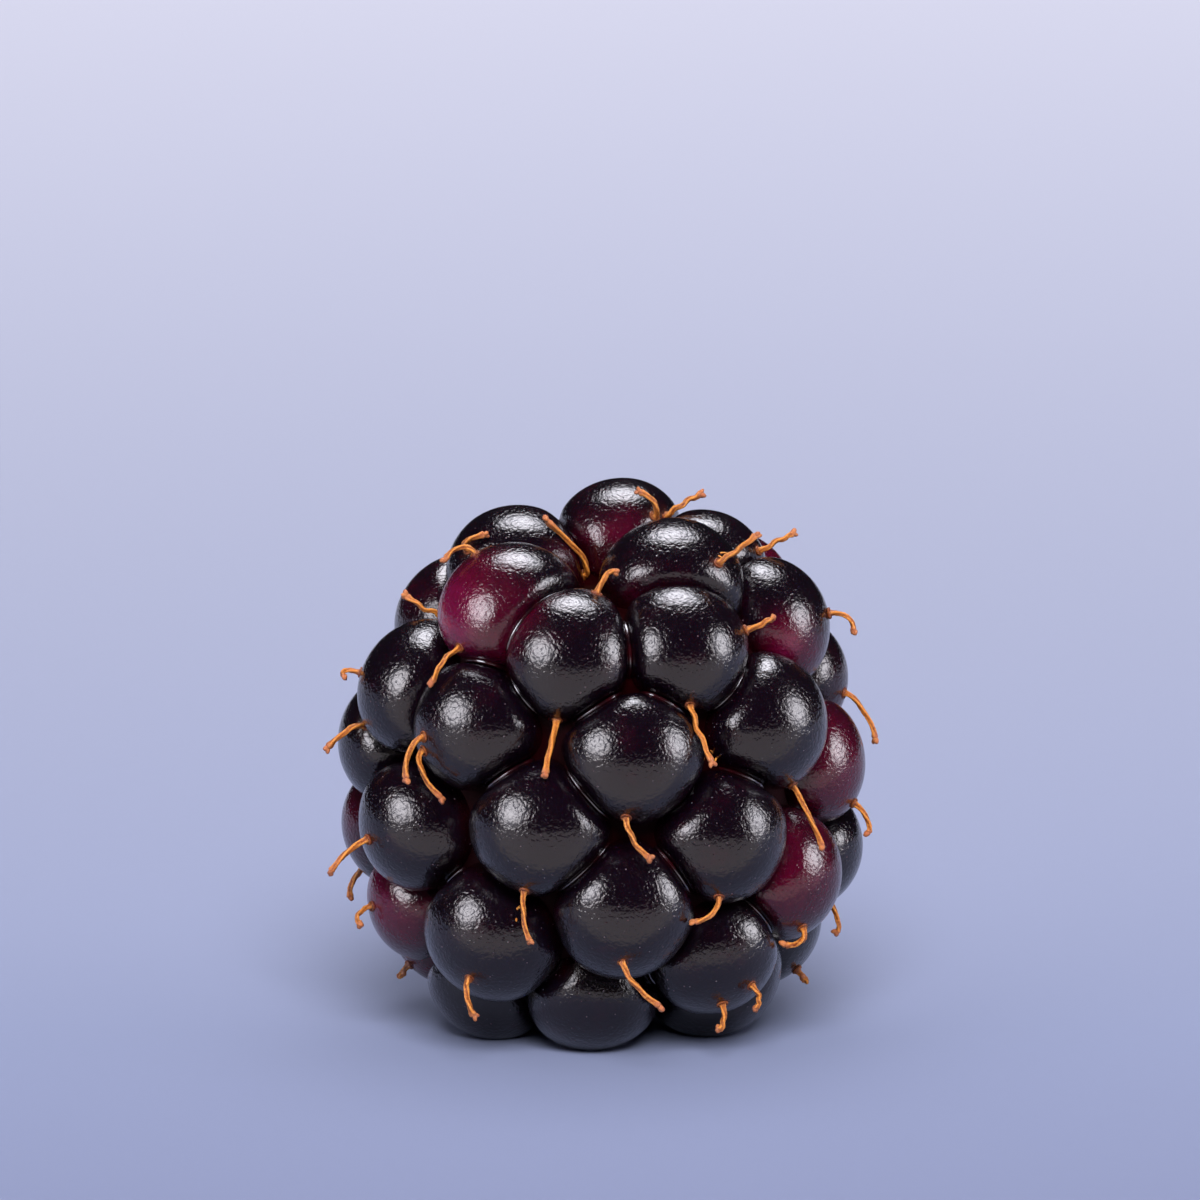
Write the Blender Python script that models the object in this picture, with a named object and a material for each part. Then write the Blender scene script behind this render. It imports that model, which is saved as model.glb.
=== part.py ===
"""Bramble berry, ripe and as picked: drupelets packed over a core, each with its dried style.

The origin lies on the surface that the berry rests on, under the middle of its width and depth.
+Z is up, +X is to the right and -Y faces the front, where the drupelets are placed by hand.
The layout is worked out in millimetres and becomes metres where the meshes are made.
"""

import math
import random

import bmesh
import bpy
import numpy as np
from mathutils import Matrix, Vector

MM = 0.001

# Bed: the rounded barrel on which the drupelets' middles lie, rounder above than below
BED_RADIUS = 8.55
CROWN_HALF_HEIGHT = 9.55
BASE_HALF_HEIGHT = 9.05
CROWN_POWER = 2.5
BASE_POWER = 2.9

# Stem end: its lean from upright towards the front in degrees, and the room kept round it
STEM_LEAN = 16.0
STEM_ROOM = 4.5

# Front: the direction from which the placed drupelets are seen, degrees above level
FRONT_RISE = 10.0

# Drupelets that show from the front: height above the bed's middle in mm, bearing from the
# front in degrees, positive to the right, and how far the drupelet sits in from the bed in mm
PLACED = {
    "T1": (9.4, 148, 0.1),
    "T2": (8.9, -96, 0.8),
    "T3": (8.6, 33, 0.3),
    "T4": (8.6, 100, 0.4),
    "T5": (6.7, 125, 0.0),
    "T6": (6.6, 80, 0.1),
    "T7": (6.4, -110, 0.85),
    "T8": (7.9, -148, 0.7),
    "R1": (7.0, -32, 0.0),
    "A1": (6.0, -13, 0.0),
    "A2": (6.3, 27, 0.0),
    "B1": (3.3, -67, 0.0),
    "B2": (3.0, -39, 0.0),
    "B3": (1.8, 8, 0.0),
    "B4": (2.65, 51, 0.0),
    "B5": (3.4, 108, 0.0),
    "B6": (-0.1, 88, 0.0),
    "C1": (1.1, -84, -0.15),
    "C2": (-1.7, -62, 0.0),
    "C3": (-1.2, -16, 0.0),
    "C4": (-1.8, 35, 0.0),
    "C5": (-4.2, 62, 0.0),
    "C6": (-3.8, 98, -0.2),
    "D0": (-2.9, -98, -0.3),
    "D1": (-5.9, -83, 0.1),
    "D2": (-6.0, -36, 0.0),
    "D3": (-4.5, 6, 0.0),
    "D4": (-7.0, 45, 0.0),
    "D5": (-7.0, 107, -0.35),
    "E0": (-7.2, -108, -0.3),
    "E1": (-8.2, -72, 0.0),
    "E2": (-8.65, -6, 0.2),
    "E3": (-8.35, 77, 0.0),
}

# Filling and settling: the rest go on a spiral's points, out of the front's sight, until no gap
# is wider than FILL_GAP; then all push each other apart to about SPACING, the placed ones least,
# and a second round closes what opened
ROUNDS = 2
SPIRAL_POINTS = 1500
OUT_OF_SIGHT = -0.1
FILL_GAP = 3.7
SPACING = 4.95
SETTLE_STEPS = 400
PUSH_SHARE = 0.12
STEM_PUSH_SHARE = 0.2
PLACED_EASE = 0.2
HOMING_SHARE = 0.05

# Drupelet: a ball as wide as its neighbours allow, flattened softly where it faces each of them
NEIGHBOURS_FOR_SIZE = 5
NEIGHBOURS_FOR_WALLS = 9
FULLNESS = 1.22
SMALLEST_RADIUS = 2.3
LARGEST_RADIUS = 3.2
STANDING_OUT = 0.8
WALL_GAP = 0.1
WALL_POWER = 8.0

# Resting: how far the berry settles on its lowest drupelet, and which others it settles onto
FLAT_DEPTH = 0.25
SAG_REACH = 1.0
SAG_DEPTH = 0.17

# Facets of one drupelet: sides, the angles of its rings from the outward end, its root, and the
# share by which its corners stand out so that the flat facets keep its girth
DRUPELET_SIDES = 12
DRUPELET_RINGS = (24.0, 48.0, 71.0, 96.0)
FACET_SPREAD = 1.015
ROOT_SHARE = 0.85

# Core that the drupelets stand on, with the hollow and the scar where the stalk came away
CORE_DEPTH = 0.35
CORE_DIVISIONS = 3
HOLLOW_DEPTH = 1.2
HOLLOW_SPREAD = 2.4
SCAR_RADIUS = 1.5
SCAR_HEIGHT = 0.45
SCAR_ROOT = 1.2
SCAR_SIDES = 10

# Dried styles of the front: drupelet, bearing and rise of the foot seen from its middle in
# degrees, and where the tip hangs from the foot, to the right and up in mm
STYLES = (
    ("A1", -18, -48, -0.5, -2.2),
    ("A1", 85, 70, 0.7, 0.9),
    ("A2", 13, -38, 0.85, -2.3),
    ("A2", 85, 20, 1.1, 0.5),
    ("B1", -95, 15, -0.7, -0.1),
    ("B2", -58, -5, -0.7, -1.7),
    ("B2", -62, -17, 0.7, -1.9),
    ("B3", -5, -45, 0.9, -1.6),
    ("B4", 60, -50, 1.2, -2.5),
    ("B5", 72, -10, 1.3, -1.9),
    ("B6", 72, -30, 0.6, -1.2),
    ("C1", -40, 20, -1.5, -0.9),
    ("C2", -60, -10, -1.5, -1.3),
    ("C3", -25, -50, 0.2, -2.0),
    ("C4", 8, -48, -1.0, -1.0),
    ("C5", 38, -43, -0.7, -0.7),
    ("C6", 60, -50, 0.3, -1.2),
    ("D1", -65, -5, -0.5, -0.7),
    ("D2", -30, -35, 0.2, -1.5),
    ("D3", 0, -40, 1.5, -1.8),
    ("D4", 20, -50, -0.1, -1.0),
    ("D4", 45, -30, 0.2, -0.9),
    ("D5", 65, -45, 0.3, -0.4),
    ("E0", -65, -40, -0.3, -0.4),
    ("R1", -48, -15, -1.1, -1.4),
    ("R1", -85, 60, -1.2, -0.2),
    ("T1", 35, 35, -0.6, 1.0),
    ("T1", 55, 35, 1.4, 0.9),
    ("T2", 72, 8, -1.5, 2.2),
    ("T2", -50, 30, 0.7, 0.6),
    ("T3", 45, 30, 1.5, 1.1),
    ("T4", 70, 25, 1.4, 0.7),
    ("T6", 82, 13, 1.0, -0.7),
    ("T7", -20, 15, -1.5, 0.9),
)

# Dried styles of the rest: foot turned towards the tip, tip hanging the same way (mm)
STYLE_SEED = 7
FOOT_TIPWARD = 0.8
FOOT_WANDER = 0.25
HANG_OUT = 0.9
HANG_TIPWARD = 1.5
HANG_WANDER = 0.9
STYLE_ABOVE_TABLE = 0.5

# Path and thickness of a style: it rises from the skin, then bends over to its tip (mm)
STYLE_RISE = 0.55
STYLE_CLEARANCE = 0.3
LIFT_STEP = 0.1
LIFT_LIMIT = 16
STYLE_ROOT = 0.5
STYLE_SIDES = 5
STYLE_STATIONS = (0.0, 0.4, 0.75, 0.93, 1.0)
STYLE_RADII = (0.2, 0.17, 0.16, 0.26, 0.2)

SKIN_COLOUR = (0.022, 0.008, 0.02, 1.0)
SKIN_ROUGHNESS = 0.22


def clear_scene():
    for thing in list(bpy.data.objects):
        bpy.data.objects.remove(thing, do_unlink=True)


# Bed

def bed_powers(heights):
    return np.where(heights > 0, CROWN_POWER, BASE_POWER)


def half_heights(heights):
    return np.where(heights > 0, CROWN_HALF_HEIGHT, BASE_HALF_HEIGHT)


def onto_bed(points):
    """Points slid along their rays from the bed's middle until they lie on the bed."""
    power = bed_powers(points[:, 2])
    wide = np.hypot(points[:, 0], points[:, 1]) / BED_RADIUS
    tall = np.abs(points[:, 2]) / half_heights(points[:, 2])
    size = (wide ** power + tall ** power) ** (1 / power)
    return points / size[:, None]


def bed_normals(points):
    power = bed_powers(points[:, 2])
    wide = np.maximum(np.hypot(points[:, 0], points[:, 1]), 1e-9)
    across = (wide / BED_RADIUS) ** (power - 1) / BED_RADIUS
    tall = np.abs(points[:, 2]) / half_heights(points[:, 2])
    up = np.sign(points[:, 2]) * tall ** (power - 1) / half_heights(points[:, 2])
    out = np.column_stack((points[:, 0] / wide * across, points[:, 1] / wide * across, up))
    return out / np.linalg.norm(out, axis=1)[:, None]


def direction(bearing, rise):
    """Unit vector at a bearing from the front and a rise above level, both in degrees."""
    turn = math.radians(bearing)
    lift = math.radians(rise)
    level = math.cos(lift)
    return np.array((level * math.sin(turn), -level * math.cos(turn), math.sin(lift)))


def stem_direction():
    return direction(0.0, 90.0 - STEM_LEAN)


def stem_end():
    return onto_bed(stem_direction()[None] * BED_RADIUS)[0]


def front_axes():
    """Right, up and towards the viewer, as the front is seen."""
    right = np.array((1.0, 0.0, 0.0))
    toward = direction(0.0, FRONT_RISE)
    return right, np.cross(toward, right), toward


# Layout of the drupelets

def placed_points():
    points = []
    for height, bearing, _ in PLACED.values():
        power = float(bed_powers(np.float64(height)))
        tall = abs(height) / float(half_heights(np.float64(height)))
        ring = BED_RADIUS * (1 - tall ** power) ** (1 / power)
        flat = direction(bearing, 0.0) * ring
        points.append((flat[0], flat[1], height))
    return np.array(points)


def spiral_points():
    step = math.pi * (3 - math.sqrt(5))
    turns = np.arange(SPIRAL_POINTS)
    heights = 1 - (2 * turns + 1) / SPIRAL_POINTS
    rings = np.sqrt(1 - heights * heights)
    ball = np.column_stack((rings * np.cos(step * turns), rings * np.sin(step * turns), heights))
    return onto_bed(ball * BED_RADIUS)


def distances(points, others):
    return np.linalg.norm(points[:, None] - others[None], axis=2)


def fill_hidden_side(points):
    """Adds the spiral's point in the widest gap, time after time, until the gaps are closed."""
    toward = front_axes()[2]
    spare = spiral_points()
    spare = spare[np.linalg.norm(spare - stem_end(), axis=1) > STEM_ROOM]
    spare = spare[bed_normals(spare) @ toward < OUT_OF_SIGHT]
    while True:
        gaps = distances(spare, points).min(axis=1)
        if gaps.max() < FILL_GAP:
            return points
        points = np.vstack((points, spare[gaps.argmax()]))


def settle(points, homes):
    """Crowded points push each other apart over the bed, and off the stem end."""
    count = len(homes)
    ease = np.ones(len(points))
    ease[:count] = PLACED_EASE
    alone = np.eye(len(points)) * 10 * SPACING
    for _ in range(SETTLE_STEPS):
        apart = points[:, None] - points[None]
        far = np.linalg.norm(apart, axis=2) + alone
        push = np.clip(SPACING - far, 0, None) / far
        move = (apart * push[:, :, None]).sum(axis=1) * PUSH_SHARE
        away = points - stem_end()
        reach = np.linalg.norm(away, axis=1)
        move += away * (np.clip(STEM_ROOM - reach, 0, None) / reach)[:, None] * STEM_PUSH_SHARE
        points = points + move * ease[:, None]
        points[:count] += (homes - points[:count]) * HOMING_SHARE
        points = onto_bed(points)
    return points


class Layout:
    """Every drupelet's middle, outward direction and radius, resting on z = 0, in mm."""

    def __init__(self):
        homes = placed_points()
        points = homes
        for _ in range(ROUNDS):
            points = settle(fill_hidden_side(points), homes)
        self.names = list(PLACED) + [f"H{number}" for number in range(len(points) - len(homes))]
        self.outward = bed_normals(points)
        sinks = np.zeros(len(points))
        sinks[: len(homes)] = [row[2] for row in PLACED.values()]
        points = points - self.outward * sinks[:, None]
        gaps = np.sort(distances(points, points), axis=1)[:, 1 : NEIGHBOURS_FOR_SIZE + 1]
        radii = gaps.mean(axis=1) / 2 * FULLNESS
        self.radii = np.clip(radii, SMALLEST_RADIUS, LARGEST_RADIUS)
        self.middles = points - self.outward * (self.radii * (1 - STANDING_OUT))[:, None]
        self.rest_on_table()
        gaps = distances(self.middles, self.middles)
        self.near = np.argsort(gaps, axis=1)[:, 1 : NEIGHBOURS_FOR_WALLS + 1]
        self.gaps = gaps

    def rest_on_table(self):
        """Lowest drupelets sag to one level, and the origin goes under the berry's middle."""
        lowest = self.middles[:, 2] - self.radii
        table = lowest.min() + FLAT_DEPTH
        sagging = lowest < lowest.min() + SAG_REACH
        goal = np.minimum(lowest, table - SAG_DEPTH)
        self.middles[sagging, 2] += (goal - lowest)[sagging]
        low = (self.middles - self.radii[:, None]).min(axis=0)
        high = (self.middles + self.radii[:, None]).max(axis=0)
        self.shift = np.array(((low[0] + high[0]) / 2, (low[1] + high[1]) / 2, table))
        self.middles = self.middles - self.shift

    def skin(self, index, rays):
        """Distance from a drupelet's middle to its skin along each ray."""
        total = np.full(len(rays), self.radii[index] ** -WALL_POWER)
        for other in self.near[index]:
            gap = self.gaps[index, other]
            toward = (self.middles[other] - self.middles[index]) / gap
            wall = (gap - WALL_GAP) / 2
            total += (np.clip(rays @ toward, 0, None) / wall) ** WALL_POWER
        return total ** (-1 / WALL_POWER)

    def clearance(self, point):
        """Least distance from a point to any drupelet's skin, negative inside."""
        apart = point - self.middles
        far = np.linalg.norm(apart, axis=1)
        least = 10 * SPACING
        for index in np.argsort(far)[:NEIGHBOURS_FOR_WALLS]:
            ray = apart[index] / far[index]
            least = min(least, far[index] - self.skin(index, ray[None])[0])
        return least


# Styles

def bezier(controls, share):
    first, second, third, last = controls
    rest = 1 - share
    start = first * rest ** 3 + second * (3 * rest * rest * share)
    return start + third * (3 * rest * share * share) + last * share ** 3


def style_path(layout, index, ray, hang, lift):
    """Bezier points from the skin to the tip, lifted until the hanging part is clear."""
    foot = layout.middles[index] + ray * layout.skin(index, ray[None])[0]
    rise = foot + ray * STYLE_RISE
    for step in range(LIFT_LIMIT):
        tip = foot + hang + lift * (LIFT_STEP * step)
        over = rise + (tip - foot) * 0.5
        controls = (foot, rise, over, tip)
        samples = [bezier(controls, share) for share in (0.7, 0.85, 1.0)]
        if min(layout.clearance(sample) for sample in samples) > STYLE_CLEARANCE:
            break
    return controls


def front_styles(layout):
    right, up, toward = front_axes()
    paths = []
    for name, bearing, rise, hang_right, hang_up in STYLES:
        ray = direction(bearing, rise)
        hang = right * hang_right + up * hang_up + toward * max(0.0, ray @ toward) * STYLE_RISE
        paths.append(style_path(layout, layout.names.index(name), ray, hang, toward))
    return paths


def other_styles(layout):
    """One style on each drupelet that has none yet, where it stays above the table."""
    draw = random.Random(STYLE_SEED)
    bare = set(layout.names) - {row[0] for row in STYLES}
    paths = []
    for index, name in enumerate(layout.names):
        if name not in bare:
            continue
        outward = layout.outward[index]
        tipward = -stem_direction() + (stem_direction() @ outward) * outward
        tipward /= np.linalg.norm(tipward)
        sideways = np.cross(outward, tipward)
        ray = outward + tipward * FOOT_TIPWARD + sideways * draw.uniform(-FOOT_WANDER, FOOT_WANDER)
        ray /= np.linalg.norm(ray)
        hang = outward * HANG_OUT + tipward * HANG_TIPWARD
        hang = hang + sideways * draw.uniform(-HANG_WANDER, HANG_WANDER)
        path = style_path(layout, index, ray, hang, outward)
        if min(point[2] for point in path) > STYLE_ABOVE_TABLE:
            paths.append(path)
    return paths


# Meshes

def new_object(name, points, faces, collection):
    mesh = bpy.data.meshes.new(name)
    mesh.from_pydata([tuple(point * MM) for point in points], [], faces)
    body = bpy.data.objects.new(name, mesh)
    collection.objects.link(body)
    return body


def tube_faces(rings, sides, capped_start):
    """Quads between rings, a fan to the last point, and a cap or fan at the start."""
    faces = []
    for ring in range(rings - 1):
        for side in range(sides):
            after = (side + 1) % sides
            low = ring * sides
            faces.append((low + side, low + after, low + sides + after, low + sides + side))
    end = rings * sides
    for side in range(sides):
        faces.append((end - sides + side, end - sides + (side + 1) % sides, end))
    if capped_start:
        faces.append(tuple(reversed(range(sides))))
    else:
        faces += [((side + 1) % sides, side, end + 1) for side in range(sides)]
    return faces


def drupelet(layout, index, collection):
    outward = Vector(layout.outward[index])
    turn = np.array(outward.to_track_quat("Z", "Y").to_matrix())
    rays = []
    for angle in reversed(DRUPELET_RINGS):
        lean = math.radians(angle)
        for side in range(DRUPELET_SIDES):
            around = 2 * math.pi * side / DRUPELET_SIDES
            flat = math.sin(lean)
            rays.append((flat * math.cos(around), flat * math.sin(around), math.cos(lean)))
    rays.append((0.0, 0.0, 1.0))
    rays = np.array(rays) @ turn.T
    points = layout.middles[index] + rays * layout.skin(index, rays)[:, None] * FACET_SPREAD
    root = layout.middles[index] - layout.outward[index] * layout.radii[index] * ROOT_SHARE
    points = np.vstack((points, root))
    faces = tube_faces(len(DRUPELET_RINGS), DRUPELET_SIDES, capped_start=False)
    return new_object("drupelet_" + layout.names[index], points, faces, collection)


def style(number, controls, collection):
    foot, rise, _, tip = controls
    ray = (rise - foot) / np.linalg.norm(rise - foot)
    binormal = np.cross(ray, tip - foot)
    binormal /= np.linalg.norm(binormal)
    middles = [foot - ray * STYLE_ROOT]
    middles += [bezier(controls, share) for share in STYLE_STATIONS[1:]]
    radii = STYLE_RADII
    points = []
    for station, middle in enumerate(middles):
        before = middles[max(station - 1, 0)]
        after = middles[min(station + 1, len(middles) - 1)]
        along = (after - before) / np.linalg.norm(after - before)
        other = np.cross(along, binormal)
        for side in range(STYLE_SIDES):
            around = 2 * math.pi * side / STYLE_SIDES
            spoke = binormal * math.cos(around) + other * math.sin(around)
            points.append(middle + spoke * radii[station])
    points.append(middles[-1] + (middles[-1] - middles[-2]) * 0.5)
    faces = tube_faces(len(middles), STYLE_SIDES, capped_start=True)
    return new_object(f"style_{number}", points, faces, collection)


def core(layout, collection):
    """The bed drawn in a little, dented at the stem end."""
    ball = bmesh.new()
    lean = Matrix.Rotation(math.radians(STEM_LEAN), 4, "X")
    bmesh.ops.create_icosphere(ball, subdivisions=CORE_DIVISIONS - 1, radius=1.0, matrix=lean)
    points = onto_bed(np.array([vertex.co for vertex in ball.verts]) * BED_RADIUS)
    far = np.linalg.norm(points - stem_end(), axis=1)
    depth = CORE_DEPTH + HOLLOW_DEPTH * np.exp(-(far / HOLLOW_SPREAD) ** 2)
    points = points - bed_normals(points) * depth[:, None] - layout.shift
    faces = [tuple(vertex.index for vertex in face.verts) for face in ball.faces]
    ball.free()
    return new_object("berry", points, faces, collection)


def stem_scar(layout, collection):
    """Low round stub on the hollow's floor."""
    outward = bed_normals(stem_end()[None])[0]
    floor = stem_end() - outward * (CORE_DEPTH + HOLLOW_DEPTH) - layout.shift
    turn = np.array(Vector(outward).to_track_quat("Z", "Y").to_matrix())
    levels = ((-SCAR_ROOT, 0.6), (0.0, 1.0), (SCAR_HEIGHT * 0.7, 0.9), (SCAR_HEIGHT, 0.6))
    points = []
    for height, share in levels:
        for side in range(SCAR_SIDES):
            around = 2 * math.pi * side / SCAR_SIDES
            flat = SCAR_RADIUS * share
            spoke = np.array((flat * math.cos(around), flat * math.sin(around), height))
            points.append(floor + turn @ spoke)
    points.append(floor + outward * SCAR_HEIGHT * 0.85)
    faces = tube_faces(len(levels), SCAR_SIDES, capped_start=True)
    return new_object("stem_scar", points, faces, collection)


# Joining and resting

def apply_union(body, parts):
    """Fuses every object of the collection into the body, then removes them."""
    union = body.modifiers.new("union", "BOOLEAN")
    union.operation = "UNION"
    union.operand_type = "COLLECTION"
    union.collection = parts
    union.solver = "MANIFOLD"
    bpy.context.view_layer.update()
    fused = body.evaluated_get(bpy.context.evaluated_depsgraph_get())
    mesh = bpy.data.meshes.new_from_object(fused)
    body.modifiers.clear()
    body.data = mesh
    mesh.name = body.name
    for part in list(parts.objects):
        bpy.data.objects.remove(part, do_unlink=True)
    bpy.data.collections.remove(parts)


def flatten_on_table(body):
    """Cuts the sagging drupelets off level at z = 0 and closes each cut with a flat face."""
    bulk = bmesh.new()
    bulk.from_mesh(body.data)
    everything = bulk.verts[:] + bulk.edges[:] + bulk.faces[:]
    cut = bmesh.ops.bisect_plane(
        bulk,
        geom=everything,
        dist=FLAT_DEPTH * MM * 0.02,
        plane_co=(0.0, 0.0, 0.0),
        plane_no=(0.0, 0.0, 1.0),
        clear_inner=True,
    )
    for vertex in cut["geom_cut"]:
        if isinstance(vertex, bmesh.types.BMVert):
            vertex.co.z = 0.0
    open_edges = [edge for edge in bulk.edges if edge.is_boundary]
    bmesh.ops.holes_fill(bulk, edges=open_edges, sides=0)
    bmesh.ops.recalc_face_normals(bulk, faces=bulk.faces)
    bulk.to_mesh(body.data)
    bulk.free()


def skin_material():
    material = bpy.data.materials.new("berry_skin")
    material.use_nodes = True
    shader = material.node_tree.nodes["Principled BSDF"]
    shader.inputs["Base Color"].default_value = SKIN_COLOUR
    shader.inputs["Roughness"].default_value = SKIN_ROUGHNESS
    shader.inputs["Metallic"].default_value = 0.0
    material.diffuse_color = SKIN_COLOUR
    return material


def make_berry():
    layout = Layout()
    scene = bpy.context.scene.collection
    parts = bpy.data.collections.new("berry_parts")
    scene.children.link(parts)
    berry = core(layout, scene)
    for index in range(len(layout.names)):
        drupelet(layout, index, parts)
    for number, controls in enumerate(front_styles(layout) + other_styles(layout)):
        style(number, controls, parts)
    stem_scar(layout, parts)
    apply_union(berry, parts)
    flatten_on_table(berry)
    berry.data.materials.clear()
    berry.data.materials.append(skin_material())
    berry.data.shade_smooth()
    berry.data.set_sharp_from_angle(angle=math.radians(40))
    return berry


clear_scene()
make_berry()
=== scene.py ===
"""Looks of the bramble berry: fine skin, dried styles, stem scar, soft studio light and camera.

The layout of drupelets and styles repeats the part's own rule, in millimetres, so every piece
lies where its rougher solid lies.
"""

import math
import random

import bmesh
import bpy
import numpy as np
from mathutils import Matrix, Vector

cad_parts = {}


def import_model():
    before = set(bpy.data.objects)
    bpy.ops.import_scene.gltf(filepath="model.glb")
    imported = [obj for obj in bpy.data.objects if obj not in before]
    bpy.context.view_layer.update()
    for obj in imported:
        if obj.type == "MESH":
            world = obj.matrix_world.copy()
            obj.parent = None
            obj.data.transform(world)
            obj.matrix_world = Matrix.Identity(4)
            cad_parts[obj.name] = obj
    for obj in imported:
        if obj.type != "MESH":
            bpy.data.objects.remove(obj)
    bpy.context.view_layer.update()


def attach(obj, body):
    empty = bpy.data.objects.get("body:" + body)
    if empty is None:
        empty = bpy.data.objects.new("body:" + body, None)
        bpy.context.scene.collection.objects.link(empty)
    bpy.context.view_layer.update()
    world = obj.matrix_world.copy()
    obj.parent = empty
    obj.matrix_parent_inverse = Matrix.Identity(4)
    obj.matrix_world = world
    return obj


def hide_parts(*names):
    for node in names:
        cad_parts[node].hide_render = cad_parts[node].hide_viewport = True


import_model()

MM = 0.001

# Bed: the rounded barrel on which the drupelets' middles lie, rounder above than below
BED_RADIUS = 8.55
CROWN_HALF_HEIGHT = 9.55
BASE_HALF_HEIGHT = 9.05
CROWN_POWER = 2.5
BASE_POWER = 2.9

# Stem end: its lean from upright towards the front in degrees, and the room kept round it
STEM_LEAN = 16.0
STEM_ROOM = 4.5

# Front: the direction from which the placed drupelets are seen, degrees above level
FRONT_RISE = 10.0

# Drupelets that show from the front: height above the bed's middle in mm, bearing from the
# front in degrees, positive to the right, and how far the drupelet sits in from the bed in mm
PLACED = {
    "T1": (9.4, 148, 0.1),
    "T2": (8.9, -96, 0.8),
    "T3": (8.6, 33, 0.3),
    "T4": (8.6, 100, 0.4),
    "T5": (6.7, 125, 0.0),
    "T6": (6.6, 80, 0.1),
    "T7": (6.4, -110, 0.85),
    "T8": (7.9, -148, 0.7),
    "R1": (7.0, -32, 0.0),
    "A1": (6.0, -13, 0.0),
    "A2": (6.3, 27, 0.0),
    "B1": (3.3, -67, 0.0),
    "B2": (3.0, -39, 0.0),
    "B3": (1.8, 8, 0.0),
    "B4": (2.65, 51, 0.0),
    "B5": (3.4, 108, 0.0),
    "B6": (-0.1, 88, 0.0),
    "C1": (1.1, -84, -0.15),
    "C2": (-1.7, -62, 0.0),
    "C3": (-1.2, -16, 0.0),
    "C4": (-1.8, 35, 0.0),
    "C5": (-4.2, 62, 0.0),
    "C6": (-3.8, 98, -0.2),
    "D0": (-2.9, -98, -0.3),
    "D1": (-5.9, -83, 0.1),
    "D2": (-6.0, -36, 0.0),
    "D3": (-4.5, 6, 0.0),
    "D4": (-7.0, 45, 0.0),
    "D5": (-7.0, 107, -0.35),
    "E0": (-7.2, -108, -0.3),
    "E1": (-8.2, -72, 0.0),
    "E2": (-8.65, -6, 0.2),
    "E3": (-8.35, 77, 0.0),
}

# Filling and settling, as in the part
ROUNDS = 2
SPIRAL_POINTS = 1500
OUT_OF_SIGHT = -0.1
FILL_GAP = 3.7
SPACING = 4.95
SETTLE_STEPS = 400
PUSH_SHARE = 0.12
STEM_PUSH_SHARE = 0.2
PLACED_EASE = 0.2
HOMING_SHARE = 0.05

# Drupelet: a ball as wide as its neighbours allow, flattened softly where it faces each of them
NEIGHBOURS_FOR_SIZE = 5
NEIGHBOURS_FOR_WALLS = 9
FULLNESS = 1.22
SMALLEST_RADIUS = 2.3
LARGEST_RADIUS = 3.2
STANDING_OUT = 0.8
WALL_GAP = 0.03
WALL_POWER = 9.0

# Resting, as in the part
FLAT_DEPTH = 0.25
SAG_REACH = 1.0
SAG_DEPTH = 0.17

# Fine skin of one drupelet: sides, rings, the angle of the last ring, and slow swellings
SKIN_SIDES = 80
SKIN_RINGS = 36
LAST_RING = 112.0
ROOT_SHARE = 0.8
SWELL_SEED = 21
SWELL_WAVES = 5
SWELL_DEPTH = 0.011
SWELL_PITCH = (2.0, 5.5)

# Seam: the cord of pressed skin in the crease between two drupelets that touch (mm, degrees)
SEAM_RADIUS = 0.09
SEAM_REACH = 6.3
SEAM_TURN = 105.0
SEAM_STATIONS = 31
SEAM_SIDES = 8
SEAM_STEP = 0.02

# Core that the drupelets stand on, with the hollow where the stalk came away, pale at its middle
CORE_DEPTH = 0.35
CORE_DIVISIONS = 6
HOLLOW_DEPTH = 3.1
HOLLOW_SPREAD = 2.4
PALE_REACH = 1.45
PALE_POWER = 8

# Stem scar (mm): its foot as shares of the radius and heights, then its top, which a rounded
# edge, a ring of vessels and a base lift, each by a share of the height
SCAR_SEED = 11
SCAR_RADIUS = 1.5
SCAR_HEIGHT = 0.45
SCAR_SIDES = 72
SCAR_FOOT = ((1.0, -0.8), (1.05, -0.2), (1.03, 0.1))
SCAR_RINGS = 23
SCAR_TOP = 0.98
EDGE_POWER = 6
EDGE_LIFT = 0.45
VESSEL_PLACE = 0.62
VESSEL_WIDTH = 0.13
VESSEL_LIFT = 0.5
BASE_LIFT = 0.1
PITH_LIFT = 0.4
TORN_OUT = 0.3

# Ripeness: 1 is black, 0 is red. Blushes: drupelet, ripeness at the blush's middle, where that
# lies as bearing and rise in degrees, and how far the blush reaches in degrees
RIPE = 1.0
BLUSHES = (
    # R1 is a red drupelet, but its pink blush on the lit left side and the bright red at its bottom
    # are partly painted glow of light through the skin
    ("R1", 0.3, -66, 5, 54),
    ("R1", 0.66, -20, -15, 45),
    ("R1", -0.1, -40, -58, 26),
    ("B6", 0.72, 70, 0, 90),
    ("B6", 0.62, 20, -15, 45),
    ("C5", 0.74, 60, 0, 80),
    ("C5", 0.64, 15, 5, 35),
    ("D1", 0.6, -70, 0, 80),
    ("D1", 0.46, -60, 20, 35),
    ("T6", 0.46, 22, -8, 26),
    ("T6", 0.7, 45, -25, 35),
    ("T5", 0.6, 90, 30, 50),
    ("E0", 0.45, -80, -10, 60),
    ("D0", 0.7, -80, 0, 50),
    ("T1", 0.55, -10, -15, 50),
    ("T2", 0.7, 40, -10, 45),
    ("T3", 0.75, -30, -20, 40),
    ("B5", 0.75, 90, -30, 50),
    ("A1", 0.6, -75, 35, 35),
    ("B4", 0.7, 85, -45, 30),
    ("T7", 0.87, -60, 20, 45),
)

# Blush of a hidden drupelet: how many are red, the ripeness and reach of a red blush and of a
# slight one, and how far above level it lies
RIPE_SEED = 5
RED_SHARE = 0.12
RED_BLUSH = (0.35, 70)
SLIGHT_BLUSH = (0.85, 45)
BLUSH_RISE = 10

# How deep the painted shade in a gap starts, as a share of the radius, and the reach of the mark
# at a style's foot (mm)
GAP_SHADE_START = 0.45
MARK_REACH = 0.3

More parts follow.
